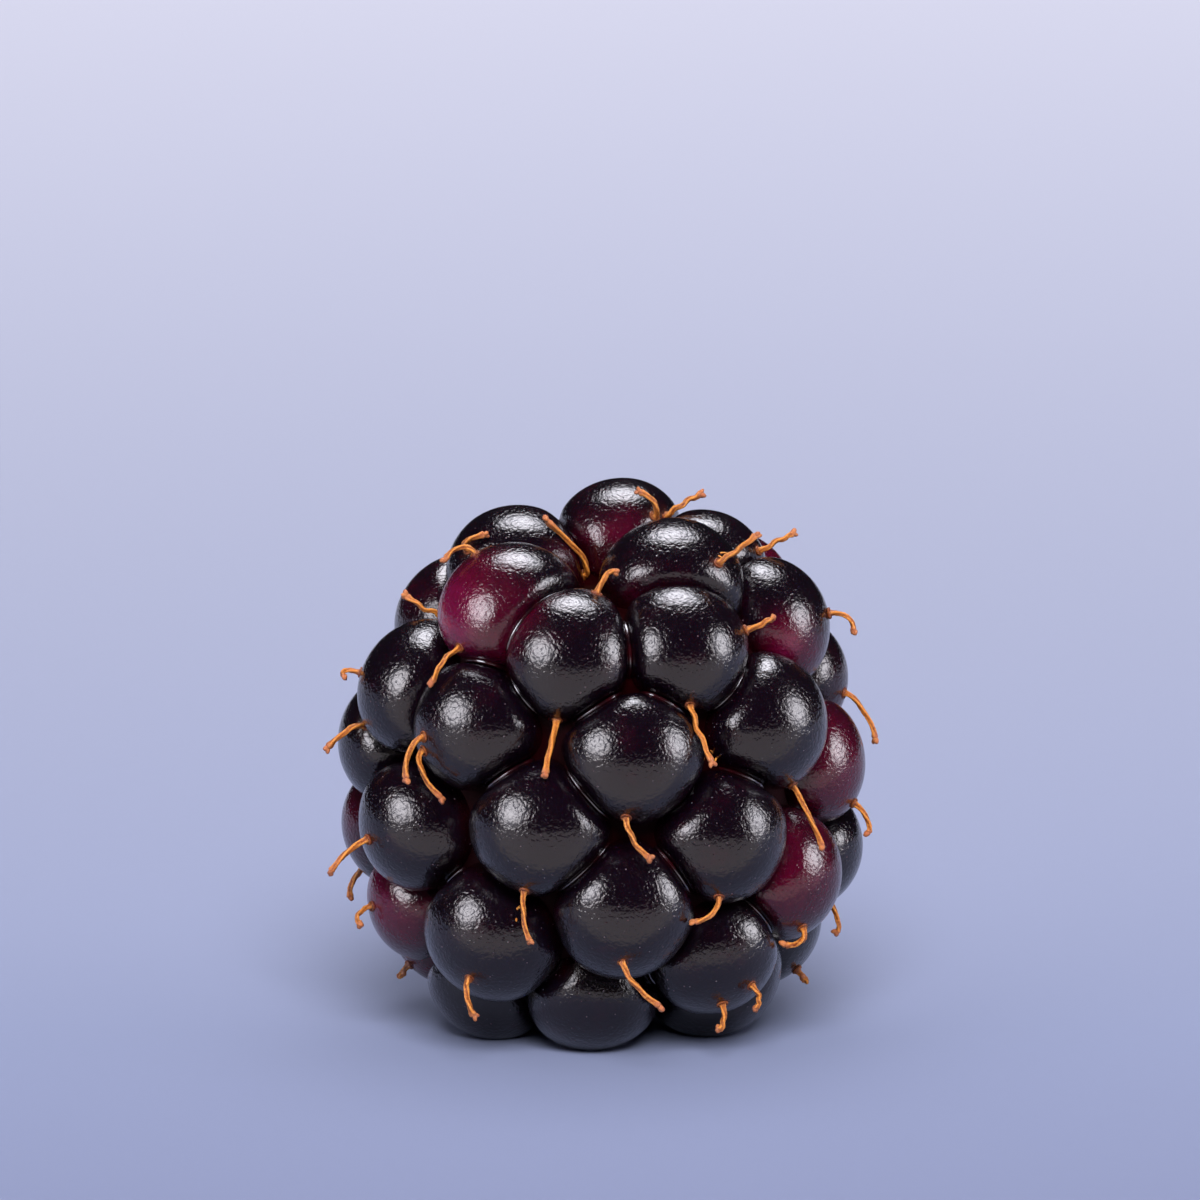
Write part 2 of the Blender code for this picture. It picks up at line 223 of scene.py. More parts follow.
# Dried styles of the front: drupelet, bearing and rise of the foot seen from its middle in
# degrees, and where the tip hangs from the foot, to the right and up in mm
STYLES = (
    ("A1", -18, -48, -0.5, -2.2),
    ("A1", 85, 70, 0.7, 0.9),
    ("A2", 13, -38, 0.85, -2.3),
    ("A2", 85, 20, 1.1, 0.5),
    ("B1", -95, 15, -0.7, -0.1),
    ("B2", -58, -5, -0.7, -1.7),
    ("B2", -62, -17, 0.7, -1.9),
    ("B3", -5, -45, 0.9, -1.6),
    ("B4", 60, -50, 1.2, -2.5),
    ("B5", 72, -10, 1.3, -1.9),
    ("B6", 72, -30, 0.6, -1.2),
    ("C1", -40, 20, -1.5, -0.9),
    ("C2", -60, -10, -1.5, -1.3),
    ("C3", -25, -50, 0.2, -2.0),
    ("C4", 8, -48, -1.0, -1.0),
    ("C5", 38, -43, -0.7, -0.7),
    ("C6", 60, -50, 0.3, -1.2),
    ("D1", -65, -5, -0.5, -0.7),
    ("D2", -30, -35, 0.2, -1.5),
    ("D3", 0, -40, 1.5, -1.8),
    ("D4", 20, -50, -0.1, -1.0),
    ("D4", 45, -30, 0.2, -0.9),
    ("D5", 65, -45, 0.3, -0.4),
    ("E0", -65, -40, -0.3, -0.4),
    ("R1", -48, -15, -1.1, -1.4),
    ("R1", -85, 60, -1.2, -0.2),
    ("T1", 35, 35, -0.6, 1.0),
    ("T1", 55, 35, 1.4, 0.9),
    ("T2", 72, 8, -1.5, 2.2),
    ("T2", -50, 30, 0.7, 0.6),
    ("T3", 45, 30, 1.5, 1.1),
    ("T4", 70, 25, 1.4, 0.7),
    ("T6", 82, 13, 1.0, -0.7),
    ("T7", -20, 15, -1.5, 0.9),
)

# Dried styles of the rest: foot turned towards the tip, tip hanging the same way (mm)
STYLE_SEED = 7
FOOT_TIPWARD = 0.8
FOOT_WANDER = 0.25
HANG_OUT = 0.9
HANG_TIPWARD = 1.5
HANG_WANDER = 0.9
STYLE_ABOVE_TABLE = 0.5

# Path of a style: it rises from the skin, then bends over to its tip (mm)
STYLE_RISE = 0.55
STYLE_CLEARANCE = 0.3
LIFT_STEP = 0.1
LIFT_LIMIT = 16
STYLE_ROOT = 0.5
HANGING_SHARES = (0.7, 0.85, 1.0)

# Fine shape of a style: flared foot, thin withered middle and knobbed tip (mm)
FIBRE_SEED = 33
FIBRE_SIDES = 16
FIBRE_STATIONS = 30
FIBRE_RADIUS = 0.108
FIBRE_SPREAD = (0.88, 1.12)
FIBRE_TAPER = 0.15
FOOT_FLARE = 0.06
FOOT_FLARE_SHARE = 0.07
KNOB_SWELL = 0.05
KNOB_SHARE = 0.1
KNOB_LOBES = (2, 2, 3)
KNOB_LOBE_SHARE = 0.45
TIP_START = 0.995
TIP_CLOSE = 0.7
CAP_SHARE = 0.5
WRINKLE_SPAN = 0.064

# Kinks of a style: depth in mm and waves from foot to tip; four are drawn and two are used
KINK = 0.06
KINK_WAVES = (1.0, 2.5)
KINK_DRAWS = 4

# Lumps: small rough eggs. On a tip: how many, their lean, how far out, length and width (mm)
LUMP_RINGS = 7
LUMP_SIDES = 9
LUMP_ROUGH = 0.16
LUMP_WAVES = (3, 2)
TIP_LUMPS = (2, 3, 3)
TIP_LUMP_LEAN = (0.5, 1.1)
TIP_LUMP_REACH = (0.04, 0.12)
TIP_LUMP_LENGTH = (0.13, 0.2)
TIP_LUMP_WIDTH = (0.09, 0.13)

# Collar of skin that a style stands in (mm), and its place on the scales of the style's colours
COLLAR_SIDES = 18
COLLAR_STEPS = 6
COLLAR_RADIUS = 0.2
COLLAR_WIDTH = 0.045
COLLAR_HEIGHT = 0.0675
COLLAR_ALONG = 0.03
COLLAR_RIDGE = 0.3

# Crumbs of torn style: drupelet, bearing and rise of the spot in degrees, and how many
CRUMBS = (
    ("D2", 16, 18, 5),
    ("B4", -30, -18, 2),
    ("T1", 12, -8, 5),
    ("T3", 52, 34, 3),
)
CRUMB_SPREAD = 5
CRUMB_LIFT = 0.03
CRUMB_TILT = 1.2
CRUMB_LENGTH = (0.09, 0.2)
CRUMB_WIDTH = (0.03, 0.05)
CRUMB_ALONG = (0.1, 0.8)

# Waves round a ring: depth, how many, turn along the piece, and which random start they take
WRINKLES = ((0.02, 3, 9, 2), (0.012, 7, 31, 0))
COLLAR_TEARS = ((0.18, 3, 0, 0), (0.12, 5, 0, 1))
COLLAR_OVAL = ((0.08, 2, 0, 2),)
SCAR_TEARS = ((0.05, 9, 0, 0), (0.035, 17, 0, 1), (0.03, 29, 11, 2))
SCAR_OVAL = ((0.06, 3, 0, 3),)

# Camera and picture
PICTURE_PIXELS = 1200
PIXELS_PER_MM = 24.0
BERRY_PIXEL = (602, 763)
SENSOR = 36.0
CAMERA_DISTANCE = 350.0
CLIP_START = 10.0
CLIP_END = 10000.0


# Helpers

def unit(vector):
    return vector / np.linalg.norm(vector)


def on_ring(around, flat, high):
    return flat * math.cos(around), flat * math.sin(around), high


def level_ring(sides, flat, high):
    return [on_ring(2 * math.pi * side / sides, flat, high) for side in range(sides)]


# Bed

def bed_powers(heights):
    return np.where(heights > 0, CROWN_POWER, BASE_POWER)


def half_heights(heights):
    return np.where(heights > 0, CROWN_HALF_HEIGHT, BASE_HALF_HEIGHT)


def onto_bed(points):
    """Points slid along their rays from the bed's middle until they lie on the bed."""
    power = bed_powers(points[:, 2])
    wide = np.hypot(points[:, 0], points[:, 1]) / BED_RADIUS
    tall = np.abs(points[:, 2]) / half_heights(points[:, 2])
    size = (wide ** power + tall ** power) ** (1 / power)
    return points / size[:, None]


def bed_normals(points):
    power = bed_powers(points[:, 2])
    wide = np.maximum(np.hypot(points[:, 0], points[:, 1]), 1e-9)
    across = (wide / BED_RADIUS) ** (power - 1) / BED_RADIUS
    tall = np.abs(points[:, 2]) / half_heights(points[:, 2])
    up = np.sign(points[:, 2]) * tall ** (power - 1) / half_heights(points[:, 2])
    out = np.column_stack((points[:, 0] / wide * across, points[:, 1] / wide * across, up))
    return out / np.linalg.norm(out, axis=1)[:, None]


def direction(bearing, rise):
    """Unit vector at a bearing from the front and a rise above level, both in degrees."""
    turn = math.radians(bearing)
    lift = math.radians(rise)
    level = math.cos(lift)
    return np.array((level * math.sin(turn), -level * math.cos(turn), math.sin(lift)))


def stem_direction():
    return direction(0.0, 90.0 - STEM_LEAN)


def stem_end():
    return onto_bed(stem_direction()[None] * BED_RADIUS)[0]


def front_axes():
    """Right, up and towards the viewer, as the front is seen."""
    right = np.array((1.0, 0.0, 0.0))
    toward = direction(0.0, FRONT_RISE)
    return right, np.cross(toward, right), toward


# Layout of the drupelets

def placed_points():
    points = []
    for height, bearing, _ in PLACED.values():
        power = float(bed_powers(np.float64(height)))
        tall = abs(height) / float(half_heights(np.float64(height)))
        ring = BED_RADIUS * (1 - tall ** power) ** (1 / power)
        flat = direction(bearing, 0.0) * ring
        points.append((flat[0], flat[1], height))
    return np.array(points)


def spiral_points():
    step = math.pi * (3 - math.sqrt(5))
    turns = np.arange(SPIRAL_POINTS)
    heights = 1 - (2 * turns + 1) / SPIRAL_POINTS
    rings = np.sqrt(1 - heights * heights)
    ball = np.column_stack((rings * np.cos(step * turns), rings * np.sin(step * turns), heights))
    return onto_bed(ball * BED_RADIUS)


def distances(points, others):
    return np.linalg.norm(points[:, None] - others[None], axis=2)


def fill_hidden_side(points):
    """Adds the spiral's point in the widest gap, time after time, until the gaps are closed."""
    toward = front_axes()[2]
    spare = spiral_points()
    spare = spare[np.linalg.norm(spare - stem_end(), axis=1) > STEM_ROOM]
    spare = spare[bed_normals(spare) @ toward < OUT_OF_SIGHT]
    while True:
        gaps = distances(spare, points).min(axis=1)
        if gaps.max() < FILL_GAP:
            return points
        points = np.vstack((points, spare[gaps.argmax()]))


def settle(points, homes):
    """Crowded points push each other apart over the bed, and off the stem end."""
    count = len(homes)
    ease = np.ones(len(points))
    ease[:count] = PLACED_EASE
    alone = np.eye(len(points)) * 10 * SPACING
    for _ in range(SETTLE_STEPS):
        apart = points[:, None] - points[None]
        far = np.linalg.norm(apart, axis=2) + alone
        push = np.clip(SPACING - far, 0, None) / far
        move = (apart * push[:, :, None]).sum(axis=1) * PUSH_SHARE
        away = points - stem_end()
        reach = np.linalg.norm(away, axis=1)
        move += away * (np.clip(STEM_ROOM - reach, 0, None) / reach)[:, None] * STEM_PUSH_SHARE
        points = points + move * ease[:, None]
        points[:count] += (homes - points[:count]) * HOMING_SHARE
        points = onto_bed(points)
    return points


class Layout:
    """Every drupelet's middle, outward direction and radius, resting on z = 0, in mm."""

    def __init__(self):
        homes = placed_points()
        points = homes
        for _ in range(ROUNDS):
            points = settle(fill_hidden_side(points), homes)
        self.names = list(PLACED) + [f"H{number}" for number in range(len(points) - len(homes))]
        self.outward = bed_normals(points)
        sinks = np.zeros(len(points))
        sinks[: len(homes)] = [row[2] for row in PLACED.values()]
        points = points - self.outward * sinks[:, None]
        gaps = np.sort(distances(points, points), axis=1)[:, 1 : NEIGHBOURS_FOR_SIZE + 1]
        radii = gaps.mean(axis=1) / 2 * FULLNESS
        self.radii = np.clip(radii, SMALLEST_RADIUS, LARGEST_RADIUS)
        self.middles = points - self.outward * (self.radii * (1 - STANDING_OUT))[:, None]
        self.rest_on_table()
        gaps = distances(self.middles, self.middles)
        self.near = np.argsort(gaps, axis=1)[:, 1 : NEIGHBOURS_FOR_WALLS + 1]
        self.gaps = gaps

    def rest_on_table(self):
        """Lowest drupelets sag to one level, and the origin goes under the berry's middle."""
        lowest = self.middles[:, 2] - self.radii
        table = lowest.min() + FLAT_DEPTH
        sagging = lowest < lowest.min() + SAG_REACH
        goal = np.minimum(lowest, table - SAG_DEPTH)
        self.middles[sagging, 2] += (goal - lowest)[sagging]
        low = (self.middles - self.radii[:, None]).min(axis=0)
        high = (self.middles + self.radii[:, None]).max(axis=0)
        self.shift = np.array(((low[0] + high[0]) / 2, (low[1] + high[1]) / 2, table))
        self.middles = self.middles - self.shift

    def skin(self, index, rays, swell=0.0):
        """Distance from a drupelet's middle to its skin along each ray."""
        radius = self.radii[index] * (1 + swell)
        total = np.broadcast_to(radius ** -WALL_POWER, (len(rays),)).copy()
        for other in self.near[index]:
            gap = self.gaps[index, other]
            toward = (self.middles[other] - self.middles[index]) / gap
            wall = (gap - WALL_GAP) / 2
            total += (np.clip(rays @ toward, 0, None) / wall) ** WALL_POWER
        return total ** (-1 / WALL_POWER)

    def clearance(self, point):
        """Least distance from a point to any drupelet's skin, negative inside."""
        apart = point - self.middles
        far = np.linalg.norm(apart, axis=1)
        least = 10 * SPACING
        for index in np.argsort(far)[:NEIGHBOURS_FOR_WALLS]:
            ray = apart[index] / far[index]
            least = min(least, far[index] - self.skin(index, ray[None])[0])
        return least


# Styles' paths

def bezier(controls, share):
    first, second, third, last = controls
    rest = 1 - share
    start = first * rest ** 3 + second * (3 * rest * rest * share)
    return start + third * (3 * rest * share * share) + last * share ** 3


def style_path(layout, index, ray, hang, lift):
    """Bezier points from the skin to the tip, lifted until the hanging part is clear."""
    foot = layout.middles[index] + ray * layout.skin(index, ray[None])[0]
    rise = foot + ray * STYLE_RISE
    for step in range(LIFT_LIMIT):
        tip = foot + hang + lift * (LIFT_STEP * step)
        over = rise + (tip - foot) * 0.5
        controls = (foot, rise, over, tip)
        samples = [bezier(controls, share) for share in HANGING_SHARES]
        if min(layout.clearance(sample) for sample in samples) > STYLE_CLEARANCE:
            break
    return controls


def front_styles(layout):
    right, up, toward = front_axes()
    paths = []
    for name, bearing, rise, hang_right, hang_up in STYLES:
        ray = direction(bearing, rise)
        hang = right * hang_right + up * hang_up + toward * max(0.0, ray @ toward) * STYLE_RISE
        index = layout.names.index(name)
        paths.append((index, style_path(layout, index, ray, hang, toward)))
    return paths


def other_styles(layout):
    """One style on each drupelet that has none yet, where it stays above the table."""
    draw = random.Random(STYLE_SEED)
    bare = set(layout.names) - {row[0] for row in STYLES}
    paths = []
    for index, name in enumerate(layout.names):
        if name not in bare:
            continue
        outward = layout.outward[index]
        tipward = unit(-stem_direction() + (stem_direction() @ outward) * outward)
        sideways = np.cross(outward, tipward)
        aside = sideways * draw.uniform(-FOOT_WANDER, FOOT_WANDER)
        ray = unit(outward + tipward * FOOT_TIPWARD + aside)
        hang = outward * HANG_OUT + tipward * HANG_TIPWARD
        hang = hang + sideways * draw.uniform(-HANG_WANDER, HANG_WANDER)
        path = style_path(layout, index, ray, hang, outward)
        if min(point[2] for point in path) > STYLE_ABOVE_TABLE:
            paths.append((index, path))
    return paths


# Meshes

class Shape:
    """Points, faces and named numbers per point, gathered from several bodies."""

    def __init__(self):
        self.points = []
        self.faces = []
        self.numbers = {}
        self.count = 0

    def add(self, points, faces, **numbers):
        self.points.append(points)
        self.faces += [tuple(corner + self.count for corner in face) for face in faces]
        self.count += len(points)
        for name, values in numbers.items():
            self.numbers.setdefault(name, []).append(np.broadcast_to(values, (len(points),)))

    def to_object(self, name):
        mesh = bpy.data.meshes.new(name)
        points = np.vstack(self.points) * MM
        mesh.from_pydata(points.tolist(), [], self.faces)
        for label, values in self.numbers.items():
            layer = mesh.attributes.new(label, "FLOAT", "POINT")
            layer.data.foreach_set("value", np.concatenate(values).astype(np.float32))
        mesh.shade_smooth()
        body = bpy.data.objects.new(name, mesh)
        bpy.context.scene.collection.objects.link(body)
        return body


def tube_faces(rings, sides, capped_start):
    """Quads between rings, a fan to the last point, and a cap or fan at the start."""
    faces = []
    for ring in range(rings - 1):
        for side in range(sides):
            after = (side + 1) % sides
            low = ring * sides
            faces.append((low + side, low + after, low + sides + after, low + sides + side))
    end = rings * sides
    for side in range(sides):
        faces.append((end - sides + side, end - sides + (side + 1) % sides, end))
    if capped_start:
        faces.append(tuple(reversed(range(sides))))
    else:
        faces += [((side + 1) % sides, side, end + 1) for side in range(sides)]
    return faces


def turn_to(outward):
    return np.array(Vector(outward).to_track_quat("Z", "Y").to_matrix())


def ring_rays(outward):
    """Rays in rings round the outward end, from the last ring up to the end itself."""
    rays = []
    for ring in range(SKIN_RINGS):
        lean = math.radians(LAST_RING * (SKIN_RINGS - ring) / SKIN_RINGS)
        rays += level_ring(SKIN_SIDES, math.sin(lean), math.cos(lean))
    rays.append((0.0, 0.0, 1.0))
    return np.array(rays) @ turn_to(outward).T


def swelling(rays, draw):
    """Slow uneven swelling of the skin, as a share of the radius."""
    total = np.zeros(len(rays))
    for _ in range(SWELL_WAVES):
        axis = unit(np.array([draw.gauss(0, 1) for _ in range(3)]))
        pitch = draw.uniform(*SWELL_PITCH)
        total += np.sin(rays @ axis * pitch + draw.uniform(0, 2 * math.pi))
    return total * SWELL_DEPTH / SWELL_WAVES ** 0.5


def ripeness(name, rays, draw):
    """Ripeness along each ray: a placed drupelet has its own blushes, a hidden one a drawn one."""
    rows = [row[1:] for row in BLUSHES if row[0] == name]
    level, reach = RED_BLUSH if draw.random() < RED_SHARE else SLIGHT_BLUSH
    bearing = draw.uniform(-180, 180)
    if name not in PLACED:
        rows.append((level, bearing, BLUSH_RISE, reach))
    ripe = np.full(len(rays), RIPE)
    for level, bearing, rise, reach in rows:
        angle = np.degrees(np.arccos(np.clip(rays @ direction(bearing, rise), -1, 1)))
        ripe += np.minimum(level - ripe, 0.0) * np.exp(-((angle / reach) ** 2))
    return ripe


def drupelets(layout, feet):
    """Fine skins with ripeness, gap depth for painted shade and styles' marks: an upper and a lower
    piece.
    """
    upper = Shape()
    lower = Shape()
    half = np.median(layout.middles[:, 2])
    swell_draw = random.Random(SWELL_SEED)
    ripe_draw = random.Random(RIPE_SEED)
    faces = tube_faces(SKIN_RINGS, SKIN_SIDES, capped_start=False)
    for index, name in enumerate(layout.names):
        outward = layout.outward[index]
        middle = layout.middles[index]
        radius = layout.radii[index]
        rays = ring_rays(outward)
        reach = layout.skin(index, rays, swelling(rays, swell_draw))
        points = np.vstack((middle + rays * reach[:, None], middle - outward * radius * ROOT_SHARE))
        points[:, 2] = np.maximum(points[:, 2], 0.0)
        rays = np.vstack((rays, -outward))
        # Painted shade: depth into the gap between drupelets, which darkens the skin there
        depth = np.clip(1 - (points - middle) @ outward / (GAP_SHADE_START * radius), 0, 1)
        mark = np.zeros(len(points))
        for owner, foot in feet:
            if owner == index:
                far = np.linalg.norm(points - foot, axis=1)
                mark = np.maximum(mark, np.exp(-(far / MARK_REACH) ** 2))
        shape = upper if middle[2] > half else lower
        shape.add(points, faces, ripe=ripeness(name, rays, ripe_draw), depth=depth, mark=mark)
    return upper.to_object("drupelets_upper"), lower.to_object("drupelets_lower")


def seam_point(layout, first, second, around):
    """Where a cord of the seam's radius rests in the crease, at an angle about the pair's axis."""
    foot = (layout.middles[first] + layout.middles[second]) / 2
    high = np.arange(SEAM_RADIUS, LARGEST_RADIUS, SEAM_STEP)
    points = foot + around * high[:, None]
    least = np.full(len(high), np.inf)
    for index in (first, second):
        apart = points - layout.middles[index]
        far = np.linalg.norm(apart, axis=1)
        least = np.minimum(least, far - layout.skin(index, apart / far[:, None]))
    resting = np.argmax(least > SEAM_RADIUS)
    return points[resting]


def seams(layout):
    """Thin cords of skin along the creases of all drupelets that touch."""
    shape = Shape()
    turns = np.radians(np.linspace(-SEAM_TURN, SEAM_TURN, SEAM_STATIONS))
    for first in range(len(layout.names)):
        for second in layout.near[first]:
            gap = layout.gaps[first, second]
            if second < first or gap > SEAM_REACH:
                continue
            axis = (layout.middles[second] - layout.middles[first]) / gap
            outward = layout.outward[first] + layout.outward[second]
            outward = unit(outward - axis * (outward @ axis))
            sideways = np.cross(axis, outward)
            spokes = [outward * math.cos(turn) + sideways * math.sin(turn) for turn in turns]
            middles = [seam_point(layout, first, second, spoke) for spoke in spokes]
            points = []
            for spoke, middle in zip(spokes, middles):
                for side in range(SEAM_SIDES):
                    lean = 2 * math.pi * side / SEAM_SIDES
                    out = spoke * math.cos(lean) + axis * math.sin(lean)
                    points.append(middle + out * SEAM_RADIUS)
            points += [middles[-1], middles[0]]
            faces = tube_faces(SEAM_STATIONS, SEAM_SIDES, capped_start=False)
            shape.add(np.array(points), faces)
    return shape.to_object("seams")


def random_turns(draw, count):
    return [draw.uniform(0, 2 * math.pi) for _ in range(count)]


def random_vector(draw, reach):
    return np.array([draw.uniform(-reach, reach) for _ in range(3)])


def waves(table, around, along, starts):
    """Sum of a table's waves at an angle round a ring and at a share along the piece."""
    return sum(
        depth * math.sin(count * around + turn * along + starts[start])
        for depth, count, turn, start in table
    )


def fibre(shape, controls, draw):
    """One withered style: a wrinkled, kinked thread with a flared foot and a lobed knob."""
    foot, rise, _, tip = controls
    ray = unit(rise - foot)
    binormal = unit(np.cross(ray, tip - foot))
    kinks = [draw.uniform(-1, 1) for _ in range(KINK_DRAWS)]
    starts = random_turns(draw, 3)
    lobes = draw.choice(KNOB_LOBES)
    thick = FIBRE_RADIUS * draw.uniform(*FIBRE_SPREAD)
    shares = np.linspace(0.0, 1.0, FIBRE_STATIONS)
    middles = [foot - ray * STYLE_ROOT]
    for share in shares:
        sway = sum(
            kink * math.sin(2 * math.pi * wave * share + start)
            for kink, wave, start in zip(kinks, KINK_WAVES, starts)
        )
        aside = KINK * math.sin(math.pi * share) * sway
        middles.append(bezier(controls, share) + binormal * aside)
    shares = np.concatenate(([0.0], shares))
    points = []
    ridges = []
    for station, (middle, share) in enumerate(zip(middles, shares)):
        before = middles[max(station - 1, 0)]
        after = middles[min(station + 1, len(middles) - 1)]
        along = unit(after - before)
        other = unit(np.cross(along, binormal))
        side_axis = np.cross(other, along)
        flare = FOOT_FLARE * math.exp(-((share / FOOT_FLARE_SHARE) ** 2))
        knob = KNOB_SWELL * math.exp(-(((1 - share) / KNOB_SHARE) ** 2))
        close = 1.0 if share < TIP_START else TIP_CLOSE
        for side in range(FIBRE_SIDES):
            around = 2 * math.pi * side / FIBRE_SIDES
            wrinkle = waves(WRINKLES, around, share, starts)
            lobe = knob * KNOB_LOBE_SHARE * math.cos(lobes * around + starts[1])
            radius = thick * (1 - FIBRE_TAPER * share) + wrinkle + flare + knob + lobe
            spoke = side_axis * math.cos(around) + other * math.sin(around)
            points.append(middle + spoke * (radius * close))
            # Painted shade: a furrow gets a low value and so a darker colour
            ridges.append(0.5 + wrinkle / WRINKLE_SPAN)
    points.append(middles[-1] + (middles[-1] - middles[-2]) * CAP_SHARE)
    ridges.append(0.5)
    shape.add(
        np.array(points),
        tube_faces(len(middles), FIBRE_SIDES, capped_start=True),
        along=np.append(np.repeat(shares, FIBRE_SIDES), 1.0),
        ridge=np.array(ridges),
        thread=draw.random(),
    )


def lump(shape, middle, direction_out, length, width, draw, along):
    """A small rough egg along a direction, as a lobe of a tip or a crumb."""
    starts = random_turns(draw, 3)
    points = []
    for ring in range(LUMP_RINGS):
        lean = math.pi * (LUMP_RINGS - 0.5 - ring) / LUMP_RINGS
        level_wave = math.sin(LUMP_WAVES[1] * lean + starts[1])
        for side in range(LUMP_SIDES):
            around = 2 * math.pi * side / LUMP_SIDES
            rough = 1 + LUMP_ROUGH * math.sin(LUMP_WAVES[0] * around + starts[0]) * level_wave
            flat = width * math.sin(lean) * rough
            points.append(on_ring(around, flat, length * math.cos(lean) * rough))
    points += [(0.0, 0.0, length), (0.0, 0.0, -length)]
    points = middle + np.array(points) @ turn_to(direction_out).T
    faces = tube_faces(LUMP_RINGS, LUMP_SIDES, capped_start=False)
    shape.add(points, faces, along=along, ridge=draw.random(), thread=draw.random())


def collar(shape, foot, ray, draw):
    """The raised, torn ring of skin that a style stands in."""
    starts = random_turns(draw, 3)
    points = []
    for side in range(COLLAR_SIDES):
        around = 2 * math.pi * side / COLLAR_SIDES
        reach = COLLAR_RADIUS * (1 + waves(COLLAR_OVAL, around, 0, starts))
        height = COLLAR_HEIGHT * (1 + waves(COLLAR_TEARS, around, 0, starts))
        for step in range(COLLAR_STEPS):
            lean = 2 * math.pi * step / COLLAR_STEPS
            flat = reach + COLLAR_WIDTH * math.cos(lean)
            points.append(on_ring(around, flat, height * math.sin(lean)))
    points = foot + np.array(points) @ turn_to(ray).T
    faces = []
    for side in range(COLLAR_SIDES):
        after = (side + 1) % COLLAR_SIDES
        for step in range(COLLAR_STEPS):
            beside = (step + 1) % COLLAR_STEPS
            corners = ((side, step), (after, step), (after, beside), (side, beside))
            faces.append(tuple(row * COLLAR_STEPS + column for row, column in corners))
    shape.add(points, faces, along=COLLAR_ALONG, ridge=COLLAR_RIDGE, thread=draw.random())


def crumbs(shape, layout, draw):
    """Tiny torn bits of style that cling to the skin here and there."""
    for name, bearing, rise, count in CRUMBS:
        index = layout.names.index(name)
        for _ in range(count):
            turned = bearing + draw.uniform(-CRUMB_SPREAD, CRUMB_SPREAD)
            ray = direction(turned, rise + draw.uniform(-CRUMB_SPREAD, CRUMB_SPREAD))
            spot = layout.middles[index] + ray * (layout.skin(index, ray[None])[0] + CRUMB_LIFT)
            loose = unit(ray + random_vector(draw, CRUMB_TILT))
            size = draw.uniform(*CRUMB_LENGTH), draw.uniform(*CRUMB_WIDTH)
            lump(shape, spot, loose, *size, draw, draw.uniform(*CRUMB_ALONG))


def styles(layout, paths):
    """Threads with their collars and lobed tips, and the crumbs."""
    shape = Shape()
    draw = random.Random(FIBRE_SEED)
    for _, controls in paths:
        foot, rise, over, tip = controls
        fibre(shape, controls, draw)
        collar(shape, foot, unit(rise - foot), draw)
        along = unit(tip - over)
        for _ in range(draw.choice(TIP_LUMPS)):
            aside = random_vector(draw, 1)
            aside = unit(aside - along * (aside @ along))
            spread = unit(along + aside * draw.uniform(*TIP_LUMP_LEAN))
            middle = tip + spread * draw.uniform(*TIP_LUMP_REACH)
            size = draw.uniform(*TIP_LUMP_LENGTH), draw.uniform(*TIP_LUMP_WIDTH)
            lump(shape, middle, spread, *size, draw, 1.0)
    crumbs(shape, layout, draw)
    return shape.to_object("styles")


def core(layout):
    """The bed drawn in a little, dented at the stem end."""
    ball = bmesh.new()
    lean = Matrix.Rotation(math.radians(STEM_LEAN), 4, "X")
    bmesh.ops.create_icosphere(ball, subdivisions=CORE_DIVISIONS, radius=1.0, matrix=lean)
    points = onto_bed(np.array([vertex.co for vertex in ball.verts]) * BED_RADIUS)
    far = np.linalg.norm(points - stem_end(), axis=1)
    depth = CORE_DEPTH + HOLLOW_DEPTH * np.exp(-(far / HOLLOW_SPREAD) ** 2)
    points = points - bed_normals(points) * depth[:, None] - layout.shift
    faces = [tuple(vertex.index for vertex in face.verts) for face in ball.faces]
    ball.free()
    shape = Shape()
    shape.add(points, faces, pale=np.exp(-(far / PALE_REACH) ** PALE_POWER))
    return shape.to_object("core")


def scar_profile():
    """Share of the radius and height of each ring, from the foot over the top to the pith."""
    profile = list(SCAR_FOOT)
    for step in range(SCAR_RINGS):
        share = 1 - step / SCAR_RINGS
        edge = EDGE_LIFT * (1 - share ** EDGE_POWER)
        ring = VESSEL_LIFT * math.exp(-(((share - VESSEL_PLACE) / VESSEL_WIDTH) ** 2))
        profile.append((share * SCAR_TOP, SCAR_HEIGHT * (edge + ring + BASE_LIFT)))
    return profile


def stem_scar(layout):
    """Low fibrous stub on the hollow's floor: a ring of vessels round a sunken pith."""
    outward = bed_normals(stem_end()[None])[0]
    ground = stem_end() - outward * (CORE_DEPTH + HOLLOW_DEPTH) - layout.shift
    turn = turn_to(outward)
    starts = random_turns(random.Random(SCAR_SEED), 4)
    profile = scar_profile()
    points = []
    spread = []
    for share, height in profile:
        for side in range(SCAR_SIDES):
            around = 2 * math.pi * side / SCAR_SIDES
            torn = waves(SCAR_TEARS, around, share, starts) * share
            oval = 1 + waves(SCAR_OVAL, around, share, starts) + TORN_OUT * torn
            high = height + (torn * SCAR_RADIUS if height > 0 else 0.0)
            point = on_ring(around, SCAR_RADIUS * share * oval, high)
            points.append(ground + turn @ np.array(point))
            spread.append(share)
    points.append(ground + outward * SCAR_HEIGHT * PITH_LIFT)
    spread.append(0.0)
    shape = Shape()
    faces = tube_faces(len(profile), SCAR_SIDES, capped_start=True)
    shape.add(np.array(points), faces, spread=np.array(spread))
    return shape.to_object("stem_scar")


# Materials

